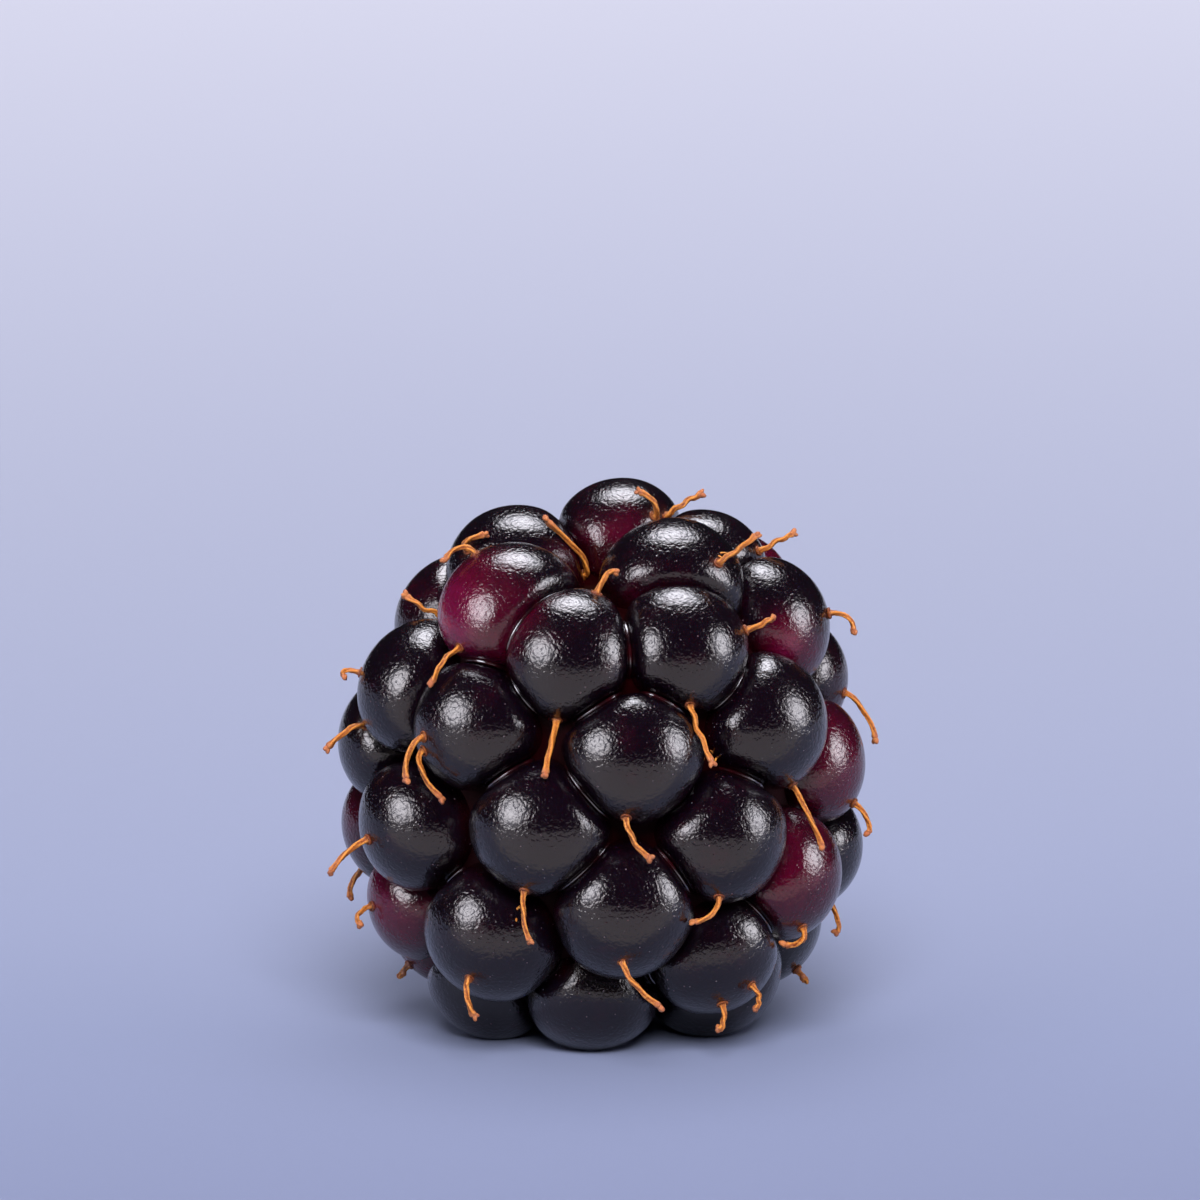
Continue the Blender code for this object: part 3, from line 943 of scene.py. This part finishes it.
class Nodes:
    """Short names for the nodes and links of one material."""

    def __init__(self, name):
        self.material = bpy.data.materials.new(name)
        self.material.use_nodes = True
        self.tree = self.material.node_tree
        self.shader = self.tree.nodes["Principled BSDF"]
        self.place = self.add("ShaderNodeTexCoord").outputs["Object"]

    def add(self, kind, **settings):
        node = self.tree.nodes.new(kind)
        for name, value in settings.items():
            setattr(node, name, value)
        return node

    def link(self, start, end):
        self.tree.links.new(start, end)

    def number(self, name):
        node = self.add("ShaderNodeAttribute", attribute_type="GEOMETRY", attribute_name=name)
        return node.outputs["Fac"]

    def math(self, operation, first, second=None, third=None, clamp=False):
        node = self.add("ShaderNodeMath", operation=operation, use_clamp=clamp)
        for socket, value in zip(node.inputs, (first, second, third)):
            if value is None:
                continue
            if isinstance(value, (int, float)):
                socket.default_value = value
            else:
                self.link(value, socket)
        return node.outputs[0]

    def noise(self, pitch_mm, detail=2.0, roughness=0.5, distortion=0.0):
        node = self.add("ShaderNodeTexNoise")
        node.inputs["Scale"].default_value = 1 / (pitch_mm * MM)
        node.inputs["Detail"].default_value = detail
        node.inputs["Roughness"].default_value = roughness
        node.inputs["Distortion"].default_value = distortion
        self.link(self.place, node.inputs["Vector"])
        return node.outputs["Fac"]

    def swing(self, noise, share, base):
        """The base, with the noise's swing round its middle added by a share."""
        return self.math("MULTIPLY_ADD", self.math("SUBTRACT", noise, 0.5), share, base)

    def cells(self, pitch_mm):
        node = self.add("ShaderNodeTexVoronoi", feature="F1")
        node.inputs["Scale"].default_value = 1 / (pitch_mm * MM)
        self.link(self.place, node.inputs["Vector"])
        return node.outputs["Distance"]

    def ramp(self, value, low, high, start=0.0, end=1.0):
        node = self.add("ShaderNodeMapRange", interpolation_type="SMOOTHSTEP")
        node.inputs["From Min"].default_value = low
        node.inputs["From Max"].default_value = high
        node.inputs["To Min"].default_value = start
        node.inputs["To Max"].default_value = end
        self.link(value, node.inputs["Value"])
        return node.outputs["Result"]

    def mix(self, share, first, second):
        node = self.add("ShaderNodeMix", data_type="RGBA")
        if isinstance(share, (int, float)):
            node.inputs[0].default_value = share
        else:
            self.link(share, node.inputs[0])
        for socket, value in ((node.inputs[6], first), (node.inputs[7], second)):
            if isinstance(value, tuple):
                socket.default_value = (*value, 1.0)
            else:
                self.link(value, socket)
        return node.outputs[2]

    def bump(self, height, distance_mm):
        node = self.add("ShaderNodeBump")
        node.inputs["Strength"].default_value = 1.0
        node.inputs["Distance"].default_value = distance_mm * MM
        self.link(height, node.inputs["Height"])
        return node.outputs["Normal"]

    def set(self, **values):
        for name, value in values.items():
            socket = self.shader.inputs[name.replace("_", " ")]
            if hasattr(value, "links"):
                self.link(value, socket)
            elif isinstance(value, tuple) and len(value) == 3 and socket.type == "RGBA":
                socket.default_value = (*value, 1.0)
            else:
                socket.default_value = value


# Skin: its colours from ripe to red, then painted shade in the gaps, a stain at a style's foot
# and painted glint specks. A range is what a ramp runs over, and a pitch is the size of a noise's
# or a cell's features in mm
BLACK_SKIN = (0.003, 0.0008, 0.003)
CRIMSON_SKIN = (0.058, 0.0007, 0.0105)
PURPLE_SKIN = (0.135, 0.0034, 0.034)
RED_SKIN = (0.6, 0.003, 0.006)
GAP_SHADE = (0.008, 0.0005, 0.001)
MARK_SKIN = (0.1, 0.018, 0.006)
# Pale specks painted into the skin for the sparkle of its fine grain: painted glints
GLINT_SPECK = (0.24, 0.18, 0.21)
RED_TO_PURPLE = (0.0, 0.35)
PURPLE_TO_CRIMSON = (0.3, 0.65)
CRIMSON_TO_BLACK = (0.55, 1.0)
MOTTLE_PITCH = 1.6
MOTTLE_SHARE = 0.35
FLECK_PITCH = 0.35
FLECK_SHARE = 0.18
GAP_SHADE_RANGE = (0.55, 1.0)
GAP_SHADE_STRENGTH = 0.8
MARK_RANGE = (0.35, 0.65)
MARK_STAIN = 0.85
MARK_MATTNESS = 0.25
GRAIN_PITCH = 0.17
GRAIN_MATTNESS = 0.1
SKIN_ROUGHNESS = 0.148
SKIN_BUMP = 0.036
PIT_PITCH = 0.2
PIT_RANGE = (0.0, 0.3)
PIT_SHARE = 0.3
GLINT_PITCH = 0.3
GLINT_RANGE = (0.13, 0.06)
GLINT_PATCHES = (0.45, 0.6)
GLINT_SHARE = 0.6

# Seams, core and scar: pairs of colours between which a noise mixes, and stains. The core's
# dark pair is painted shade where the core shows between drupelets
SEAM_COLOURS = ((0.004, 0.001, 0.002), (0.022, 0.0015, 0.003))
CORE_SHADE_COLOURS = ((0.003, 0.0003, 0.0006), (0.014, 0.0005, 0.001))
HOLLOW_COLOURS = ((0.32, 0.2, 0.09), (0.5, 0.4, 0.2))
SCAR_COLOURS = ((0.34, 0.27, 0.12), (0.66, 0.6, 0.38))
SCAR_BRUISE = (0.24, 0.09, 0.03)
SCAR_RIM = (0.16, 0.05, 0.03)

# Styles: from furrow to ridge, the furrows painted darker as shade, then patches, redder
# threads, tip and foot
STYLE_SHADE_AND_TONE = ((0.16, 0.026, 0.003), (0.74, 0.28, 0.05))
STYLE_PATCH = (0.42, 0.12, 0.018)
STYLE_THREAD = (0.6, 0.2, 0.03)
STYLE_TIP = (0.44, 0.14, 0.06)
STYLE_FOOT = (0.1, 0.018, 0.006)


def skin_material():
    nodes = Nodes("berry_skin")
    mottle = nodes.noise(MOTTLE_PITCH, detail=3.0)
    fleck = nodes.noise(FLECK_PITCH, detail=3.0, roughness=0.6)
    ripe = nodes.swing(mottle, MOTTLE_SHARE, nodes.number("ripe"))
    ripe = nodes.swing(fleck, FLECK_SHARE, ripe)
    colour = nodes.mix(nodes.ramp(ripe, *RED_TO_PURPLE), RED_SKIN, PURPLE_SKIN)
    colour = nodes.mix(nodes.ramp(ripe, *PURPLE_TO_CRIMSON), colour, CRIMSON_SKIN)
    colour = nodes.mix(nodes.ramp(ripe, *CRIMSON_TO_BLACK), colour, BLACK_SKIN)
    # Painted shade: the skin darkens towards the bottom of the gaps between drupelets
    gap = nodes.ramp(nodes.number("depth"), *GAP_SHADE_RANGE)
    colour = nodes.mix(nodes.math("MULTIPLY", gap, GAP_SHADE_STRENGTH), colour, GAP_SHADE)
    mark = nodes.number("mark")
    stain = nodes.math("MULTIPLY", mark, nodes.ramp(fleck, *MARK_RANGE))
    colour = nodes.mix(nodes.math("MULTIPLY", stain, MARK_STAIN), colour, MARK_SKIN)
    # Painted glints: tiny pale specks stand in for the sparkle of the skin's fine grain
    specks = nodes.ramp(nodes.cells(GLINT_PITCH), *GLINT_RANGE)
    painted_glints = nodes.math("MULTIPLY", specks, nodes.ramp(fleck, *GLINT_PATCHES))
    colour = nodes.mix(nodes.math("MULTIPLY", painted_glints, GLINT_SHARE), colour, GLINT_SPECK)

    grain = nodes.noise(GRAIN_PITCH, detail=1.0, roughness=0.45, distortion=0.4)
    pits = nodes.ramp(nodes.cells(PIT_PITCH), *PIT_RANGE)
    height = nodes.math("MULTIPLY_ADD", pits, PIT_SHARE, grain)
    roughness = nodes.math("MULTIPLY_ADD", grain, GRAIN_MATTNESS, SKIN_ROUGHNESS)
    roughness = nodes.math("MULTIPLY_ADD", mark, MARK_MATTNESS, roughness)
    nodes.set(
        Base_Color=colour,
        Roughness=roughness,
        IOR=1.5,
        Normal=nodes.bump(height, SKIN_BUMP),
        Specular_Tint=(1.0, 0.94, 0.86),
        Coat_Weight=0.3,
        Coat_Roughness=0.14,
        Coat_IOR=1.5,
        Subsurface_Weight=0.3,
        Subsurface_Radius=(1.0, 0.12, 0.15),
        Subsurface_Scale=0.9 * MM,
    )
    return nodes.material


def seam_material():
    nodes = Nodes("seam_skin")
    wet = nodes.noise(0.5, detail=2.0)
    colour = nodes.mix(nodes.ramp(wet, 0.35, 0.7), *SEAM_COLOURS)
    fine = nodes.noise(0.3, detail=2.0)
    nodes.set(
        Base_Color=colour,
        Roughness=0.22,
        IOR=1.6,
        Specular_IOR_Level=0.9,
        Normal=nodes.bump(fine, 0.02),
        Coat_Weight=0.8,
        Coat_Roughness=0.25,
    )
    return nodes.material


def core_material():
    nodes = Nodes("berry_core")
    wet = nodes.noise(0.6, detail=3.0)
    # Painted shade: the core is near black where it shows between drupelets, pale flesh only in the
    # stem hollow
    painted_shade = nodes.mix(wet, *CORE_SHADE_COLOURS)
    flesh = nodes.mix(wet, *HOLLOW_COLOURS)
    colour = nodes.mix(nodes.number("pale"), painted_shade, flesh)
    height = nodes.noise(0.2, detail=3.0)
    nodes.set(
        Base_Color=colour,
        Roughness=0.75,
        Normal=nodes.bump(height, 0.03),
        IOR=1.3,
        Specular_IOR_Level=0.15,
    )
    return nodes.material


def scar_material():
    nodes = Nodes("stem_scar")
    spread = nodes.number("spread")
    fibres = nodes.noise(0.12, detail=4.0, roughness=0.65)
    stain = nodes.noise(0.8, detail=2.0)
    flesh = nodes.mix(fibres, *SCAR_COLOURS)
    bruise = nodes.math("MULTIPLY", nodes.ramp(stain, 0.45, 0.75), 0.7)
    colour = nodes.mix(bruise, flesh, SCAR_BRUISE)
    rim = nodes.ramp(spread, 0.8, 1.0, 0.0, 0.75)
    colour = nodes.mix(rim, colour, SCAR_RIM)
    nodes.set(
        Base_Color=colour,
        Roughness=0.62,
        Normal=nodes.bump(fibres, 0.05),
        Subsurface_Weight=0.25,
        Subsurface_Radius=(1.0, 0.7, 0.4),
        Subsurface_Scale=0.4 * MM,
    )
    return nodes.material


def style_material():
    nodes = Nodes("dried_style")
    along = nodes.number("along")
    streak = nodes.noise(0.1, detail=4.0, roughness=0.7)
    patch = nodes.noise(0.5, detail=2.0)
    ridge = nodes.swing(streak, 1.6, nodes.number("ridge"))
    # Painted shade in the wrinkles' furrows, with random streaks; lumps get a random tone
    colour = nodes.mix(nodes.ramp(ridge, 0.1, 0.95), *STYLE_SHADE_AND_TONE)
    colour = nodes.mix(nodes.ramp(patch, 0.4, 0.8, 0.0, 0.6), colour, STYLE_PATCH)
    redder = nodes.ramp(nodes.number("thread"), 0.3, 1.0, 0.0, 0.35)
    colour = nodes.mix(redder, colour, STYLE_THREAD)
    tip = nodes.ramp(along, 0.86, 0.99, 0.0, 0.75)
    colour = nodes.mix(tip, colour, STYLE_TIP)
    foot = nodes.math("SUBTRACT", 1.0, nodes.ramp(along, 0.0, 0.12))
    colour = nodes.mix(nodes.math("MULTIPLY", foot, 0.8), colour, STYLE_FOOT)
    height = nodes.math("MULTIPLY_ADD", patch, 0.4, streak)
    nodes.set(
        Base_Color=colour,
        Roughness=0.55,
        Normal=nodes.bump(height, 0.035),
        Subsurface_Weight=0.2,
        Subsurface_Radius=(1.0, 0.45, 0.15),
        Subsurface_Scale=0.15 * MM,
    )
    return nodes.material


# Stage, light and camera

# Floor (mm): its rings and how far it lies under the berry. Its colour changes from near the
# berry to far behind, to the front, and out of the picture before the front
FLOOR_RINGS = (20.0, 60.0, 150.0, 400.0, 1300.0)
FLOOR_SIDES = 96
FLOOR_DROP = 0.02
# Painted light: the floor is darker near the berry and in front and brighter far behind
FLOOR_FRONT_DIMMER = (0.184, 0.207, 0.342)
FLOOR_NEAR_DIM = (0.234, 0.263, 0.415)
FLOOR_FAR_BRIGHT = (0.665, 0.67, 0.83)
FLOOR_OUT = (0.26, 0.265, 0.34)
FADE_CURVE = 0.85
OUT_START = 34.0
OUT_FADE = 120.0
FRONT_FADE = 40.0
FLOOR_FADE = 520.0


def floor_material():
    nodes = Nodes("floor")
    split = nodes.add("ShaderNodeSeparateXYZ")
    nodes.link(nodes.place, split.inputs[0])
    back = split.outputs["Y"]
    far = nodes.math("DIVIDE", back, FLOOR_FADE * MM, clamp=True)
    far = nodes.math("POWER", far, FADE_CURVE)
    front = nodes.math("DIVIDE", back, -FRONT_FADE * MM, clamp=True)
    out = nodes.ramp(back, -OUT_START * MM, -(OUT_START + OUT_FADE) * MM)
    # Painted light gradient: darker near and in front, brighter far behind
    colour = nodes.mix(front, nodes.mix(far, FLOOR_NEAR_DIM, FLOOR_FAR_BRIGHT), FLOOR_FRONT_DIMMER)
    colour = nodes.mix(out, colour, FLOOR_OUT)
    nodes.set(Base_Color=colour, Roughness=0.75, Specular_IOR_Level=0.2)
    return nodes.material


def floor():
    points = [(0.0, 0.0, 0.0)]
    for radius in FLOOR_RINGS:
        points += level_ring(FLOOR_SIDES, radius, 0.0)
    faces = [(0, 1 + side, 1 + (side + 1) % FLOOR_SIDES) for side in range(FLOOR_SIDES)]
    for ring in range(len(FLOOR_RINGS) - 1):
        low = 1 + ring * FLOOR_SIDES
        high = low + FLOOR_SIDES
        for side in range(FLOOR_SIDES):
            after = (side + 1) % FLOOR_SIDES
            faces.append((low + side, high + side, high + after, low + after))
    shape = Shape()
    shape.add(np.array(points) - (0.0, 0.0, FLOOR_DROP), faces)
    body = shape.to_object("floor")
    body.data.materials.append(floor_material())


WHITE = (1.0, 1.0, 1.0)
COOL = (0.87, 0.88, 1.0)
WARM = (1.0, 0.87, 0.68)
BERRY_MIDDLE = (0.0, 0.0, 12.0)

# Place, width and height of the boxes at both sides (mm)
LEFT_BOX = ((-126.0, -98.0, 74.0), 118.0, 112.0)
RIGHT_BOX = ((160.0, -38.0, 60.0), 100.0, 108.0)

# Softboxes that make the highlights, brighter towards their middle: side, place, width, height
# (mm) and radiance, then each nested oval's scale and its share of the radiance
SOFTBOXES = (
    ("top", (4.0, 46.0, 152.0), 108.0, 84.0, 14.0),
    ("left", *LEFT_BOX, 12.5),
    ("right", *RIGHT_BOX, 11.5),
)
HOT_CENTRE = ((1.16, 0.3), (0.86, 0.36), (0.5, 0.42))
OVAL_STEP = 0.02

# Card before the berry that only reflects in it, and fills that only light surfaces: name,
# place, width, height (mm), radiance, and target
FRONT_CARD = ((0.0, -100.0, 1.0), 400.0, 172.0, 0.51)
FRONT_CARD_TARGET = (0.0, -100.0, 900.0)
FILLS = (
    ("overhead_fill", (0.0, 150.0, 900.0), 2700.0, 2700.0, 0.72, (0.0, 150.0, 0.0)),
    ("key_fill", (120.0, -2300.0, 1840.0), 1600.0, 1600.0, 21.5, BERRY_MIDDLE),
    ("left_fill", *LEFT_BOX, 2.6, BERRY_MIDDLE),
    ("right_fill", *RIGHT_BOX, 3.5, BERRY_MIDDLE),
)

# What the camera sees past the floor, and the dim light of the room
BACKDROP = (0.66, 0.67, 0.81)
ROOM = (0.012, 0.012, 0.015)


def softbox(name, place, width, height, radiance, target=BERRY_MIDDLE, colour=WHITE):
    """Oval light of the given radiance, facing its target; lengths in mm."""
    light = bpy.data.lights.new(name, "AREA")
    light.shape = "ELLIPSE"
    light.size = width * MM
    light.size_y = height * MM
    light.energy = radiance * math.pi * light.size * light.size_y * math.pi / 4
    light.color = colour
    lamp = bpy.data.objects.new(name, light)
    lamp.location = Vector(place) * MM
    lamp.rotation_euler = (Vector(target) - Vector(place)).to_track_quat("-Z", "Y").to_euler()
    lamp.visible_camera = False
    bpy.context.scene.collection.objects.link(lamp)
    return lamp


def lights():
    shine = [softbox("front_card", *FRONT_CARD, FRONT_CARD_TARGET, WARM)]
    for label, place, width, height, radiance in SOFTBOXES:
        for ring, (scale, share) in enumerate(HOT_CENTRE):
            nearer = Vector(place).lerp(Vector(BERRY_MIDDLE), OVAL_STEP * ring)
            box = (nearer, width * scale, height * scale, radiance * share)
            shine.append(softbox(f"{label}_softbox_{ring}", *box, colour=COOL))
    for lamp in shine:
        lamp.visible_diffuse = False
    for row in FILLS:
        softbox(*row).visible_glossy = False


def world():
    pale = bpy.data.worlds.new("studio")
    pale.use_nodes = True
    tree = pale.node_tree
    seen = tree.nodes.new("ShaderNodeLightPath")
    tint = tree.nodes.new("ShaderNodeMix")
    tint.data_type = "RGBA"
    tint.inputs[6].default_value = (*ROOM, 1.0)
    tint.inputs[7].default_value = (*BACKDROP, 1.0)
    tree.links.new(seen.outputs["Is Camera Ray"], tint.inputs[0])
    tree.links.new(tint.outputs[2], tree.nodes["Background"].inputs["Color"])
    bpy.context.scene.world = pale


def camera(layout):
    """Looks down on the berry at the front's rise, with the berry at its pixel in the picture."""
    right, up, toward = (Vector(axis) for axis in front_axes())
    middle = Vector(-layout.shift)
    offset_right = (PICTURE_PIXELS / 2 - BERRY_PIXEL[0]) / PIXELS_PER_MM
    offset_up = (BERRY_PIXEL[1] - PICTURE_PIXELS / 2) / PIXELS_PER_MM
    aim = middle + right * offset_right + up * offset_up
    place = middle + toward * CAMERA_DISTANCE
    lens = bpy.data.cameras.new("camera")
    lens.sensor_width = SENSOR
    lens.lens = SENSOR * PIXELS_PER_MM * CAMERA_DISTANCE / PICTURE_PIXELS
    lens.clip_start = CLIP_START * MM
    lens.clip_end = CLIP_END * MM
    eye = bpy.data.objects.new("camera", lens)
    eye.location = place * MM
    eye.rotation_euler = (aim - place).to_track_quat("-Z", "Y").to_euler()
    bpy.context.scene.collection.objects.link(eye)
    bpy.context.scene.camera = eye


def berry_pieces():
    layout = Layout()
    paths = front_styles(layout) + other_styles(layout)
    feet = [(index, controls[0]) for index, controls in paths]
    skin = skin_material()
    upper, lower = drupelets(layout, feet)
    pieces = (
        (upper, skin, "berry_skin"),
        (lower, skin, "berry_skin"),
        (seams(layout), seam_material(), "berry_skin"),
        (styles(layout, paths), style_material(), "dried_style"),
        (core(layout), core_material(), "berry_skin"),
        (stem_scar(layout), scar_material(), "stem_scar"),
    )
    for piece, material, slot in pieces:
        piece.data.materials.append(material)
        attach(piece, "root")
        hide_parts("berry")
    return layout


layout = berry_pieces()
floor()
lights()
world()
camera(layout)
bpy.context.scene.view_settings.view_transform = "Standard"
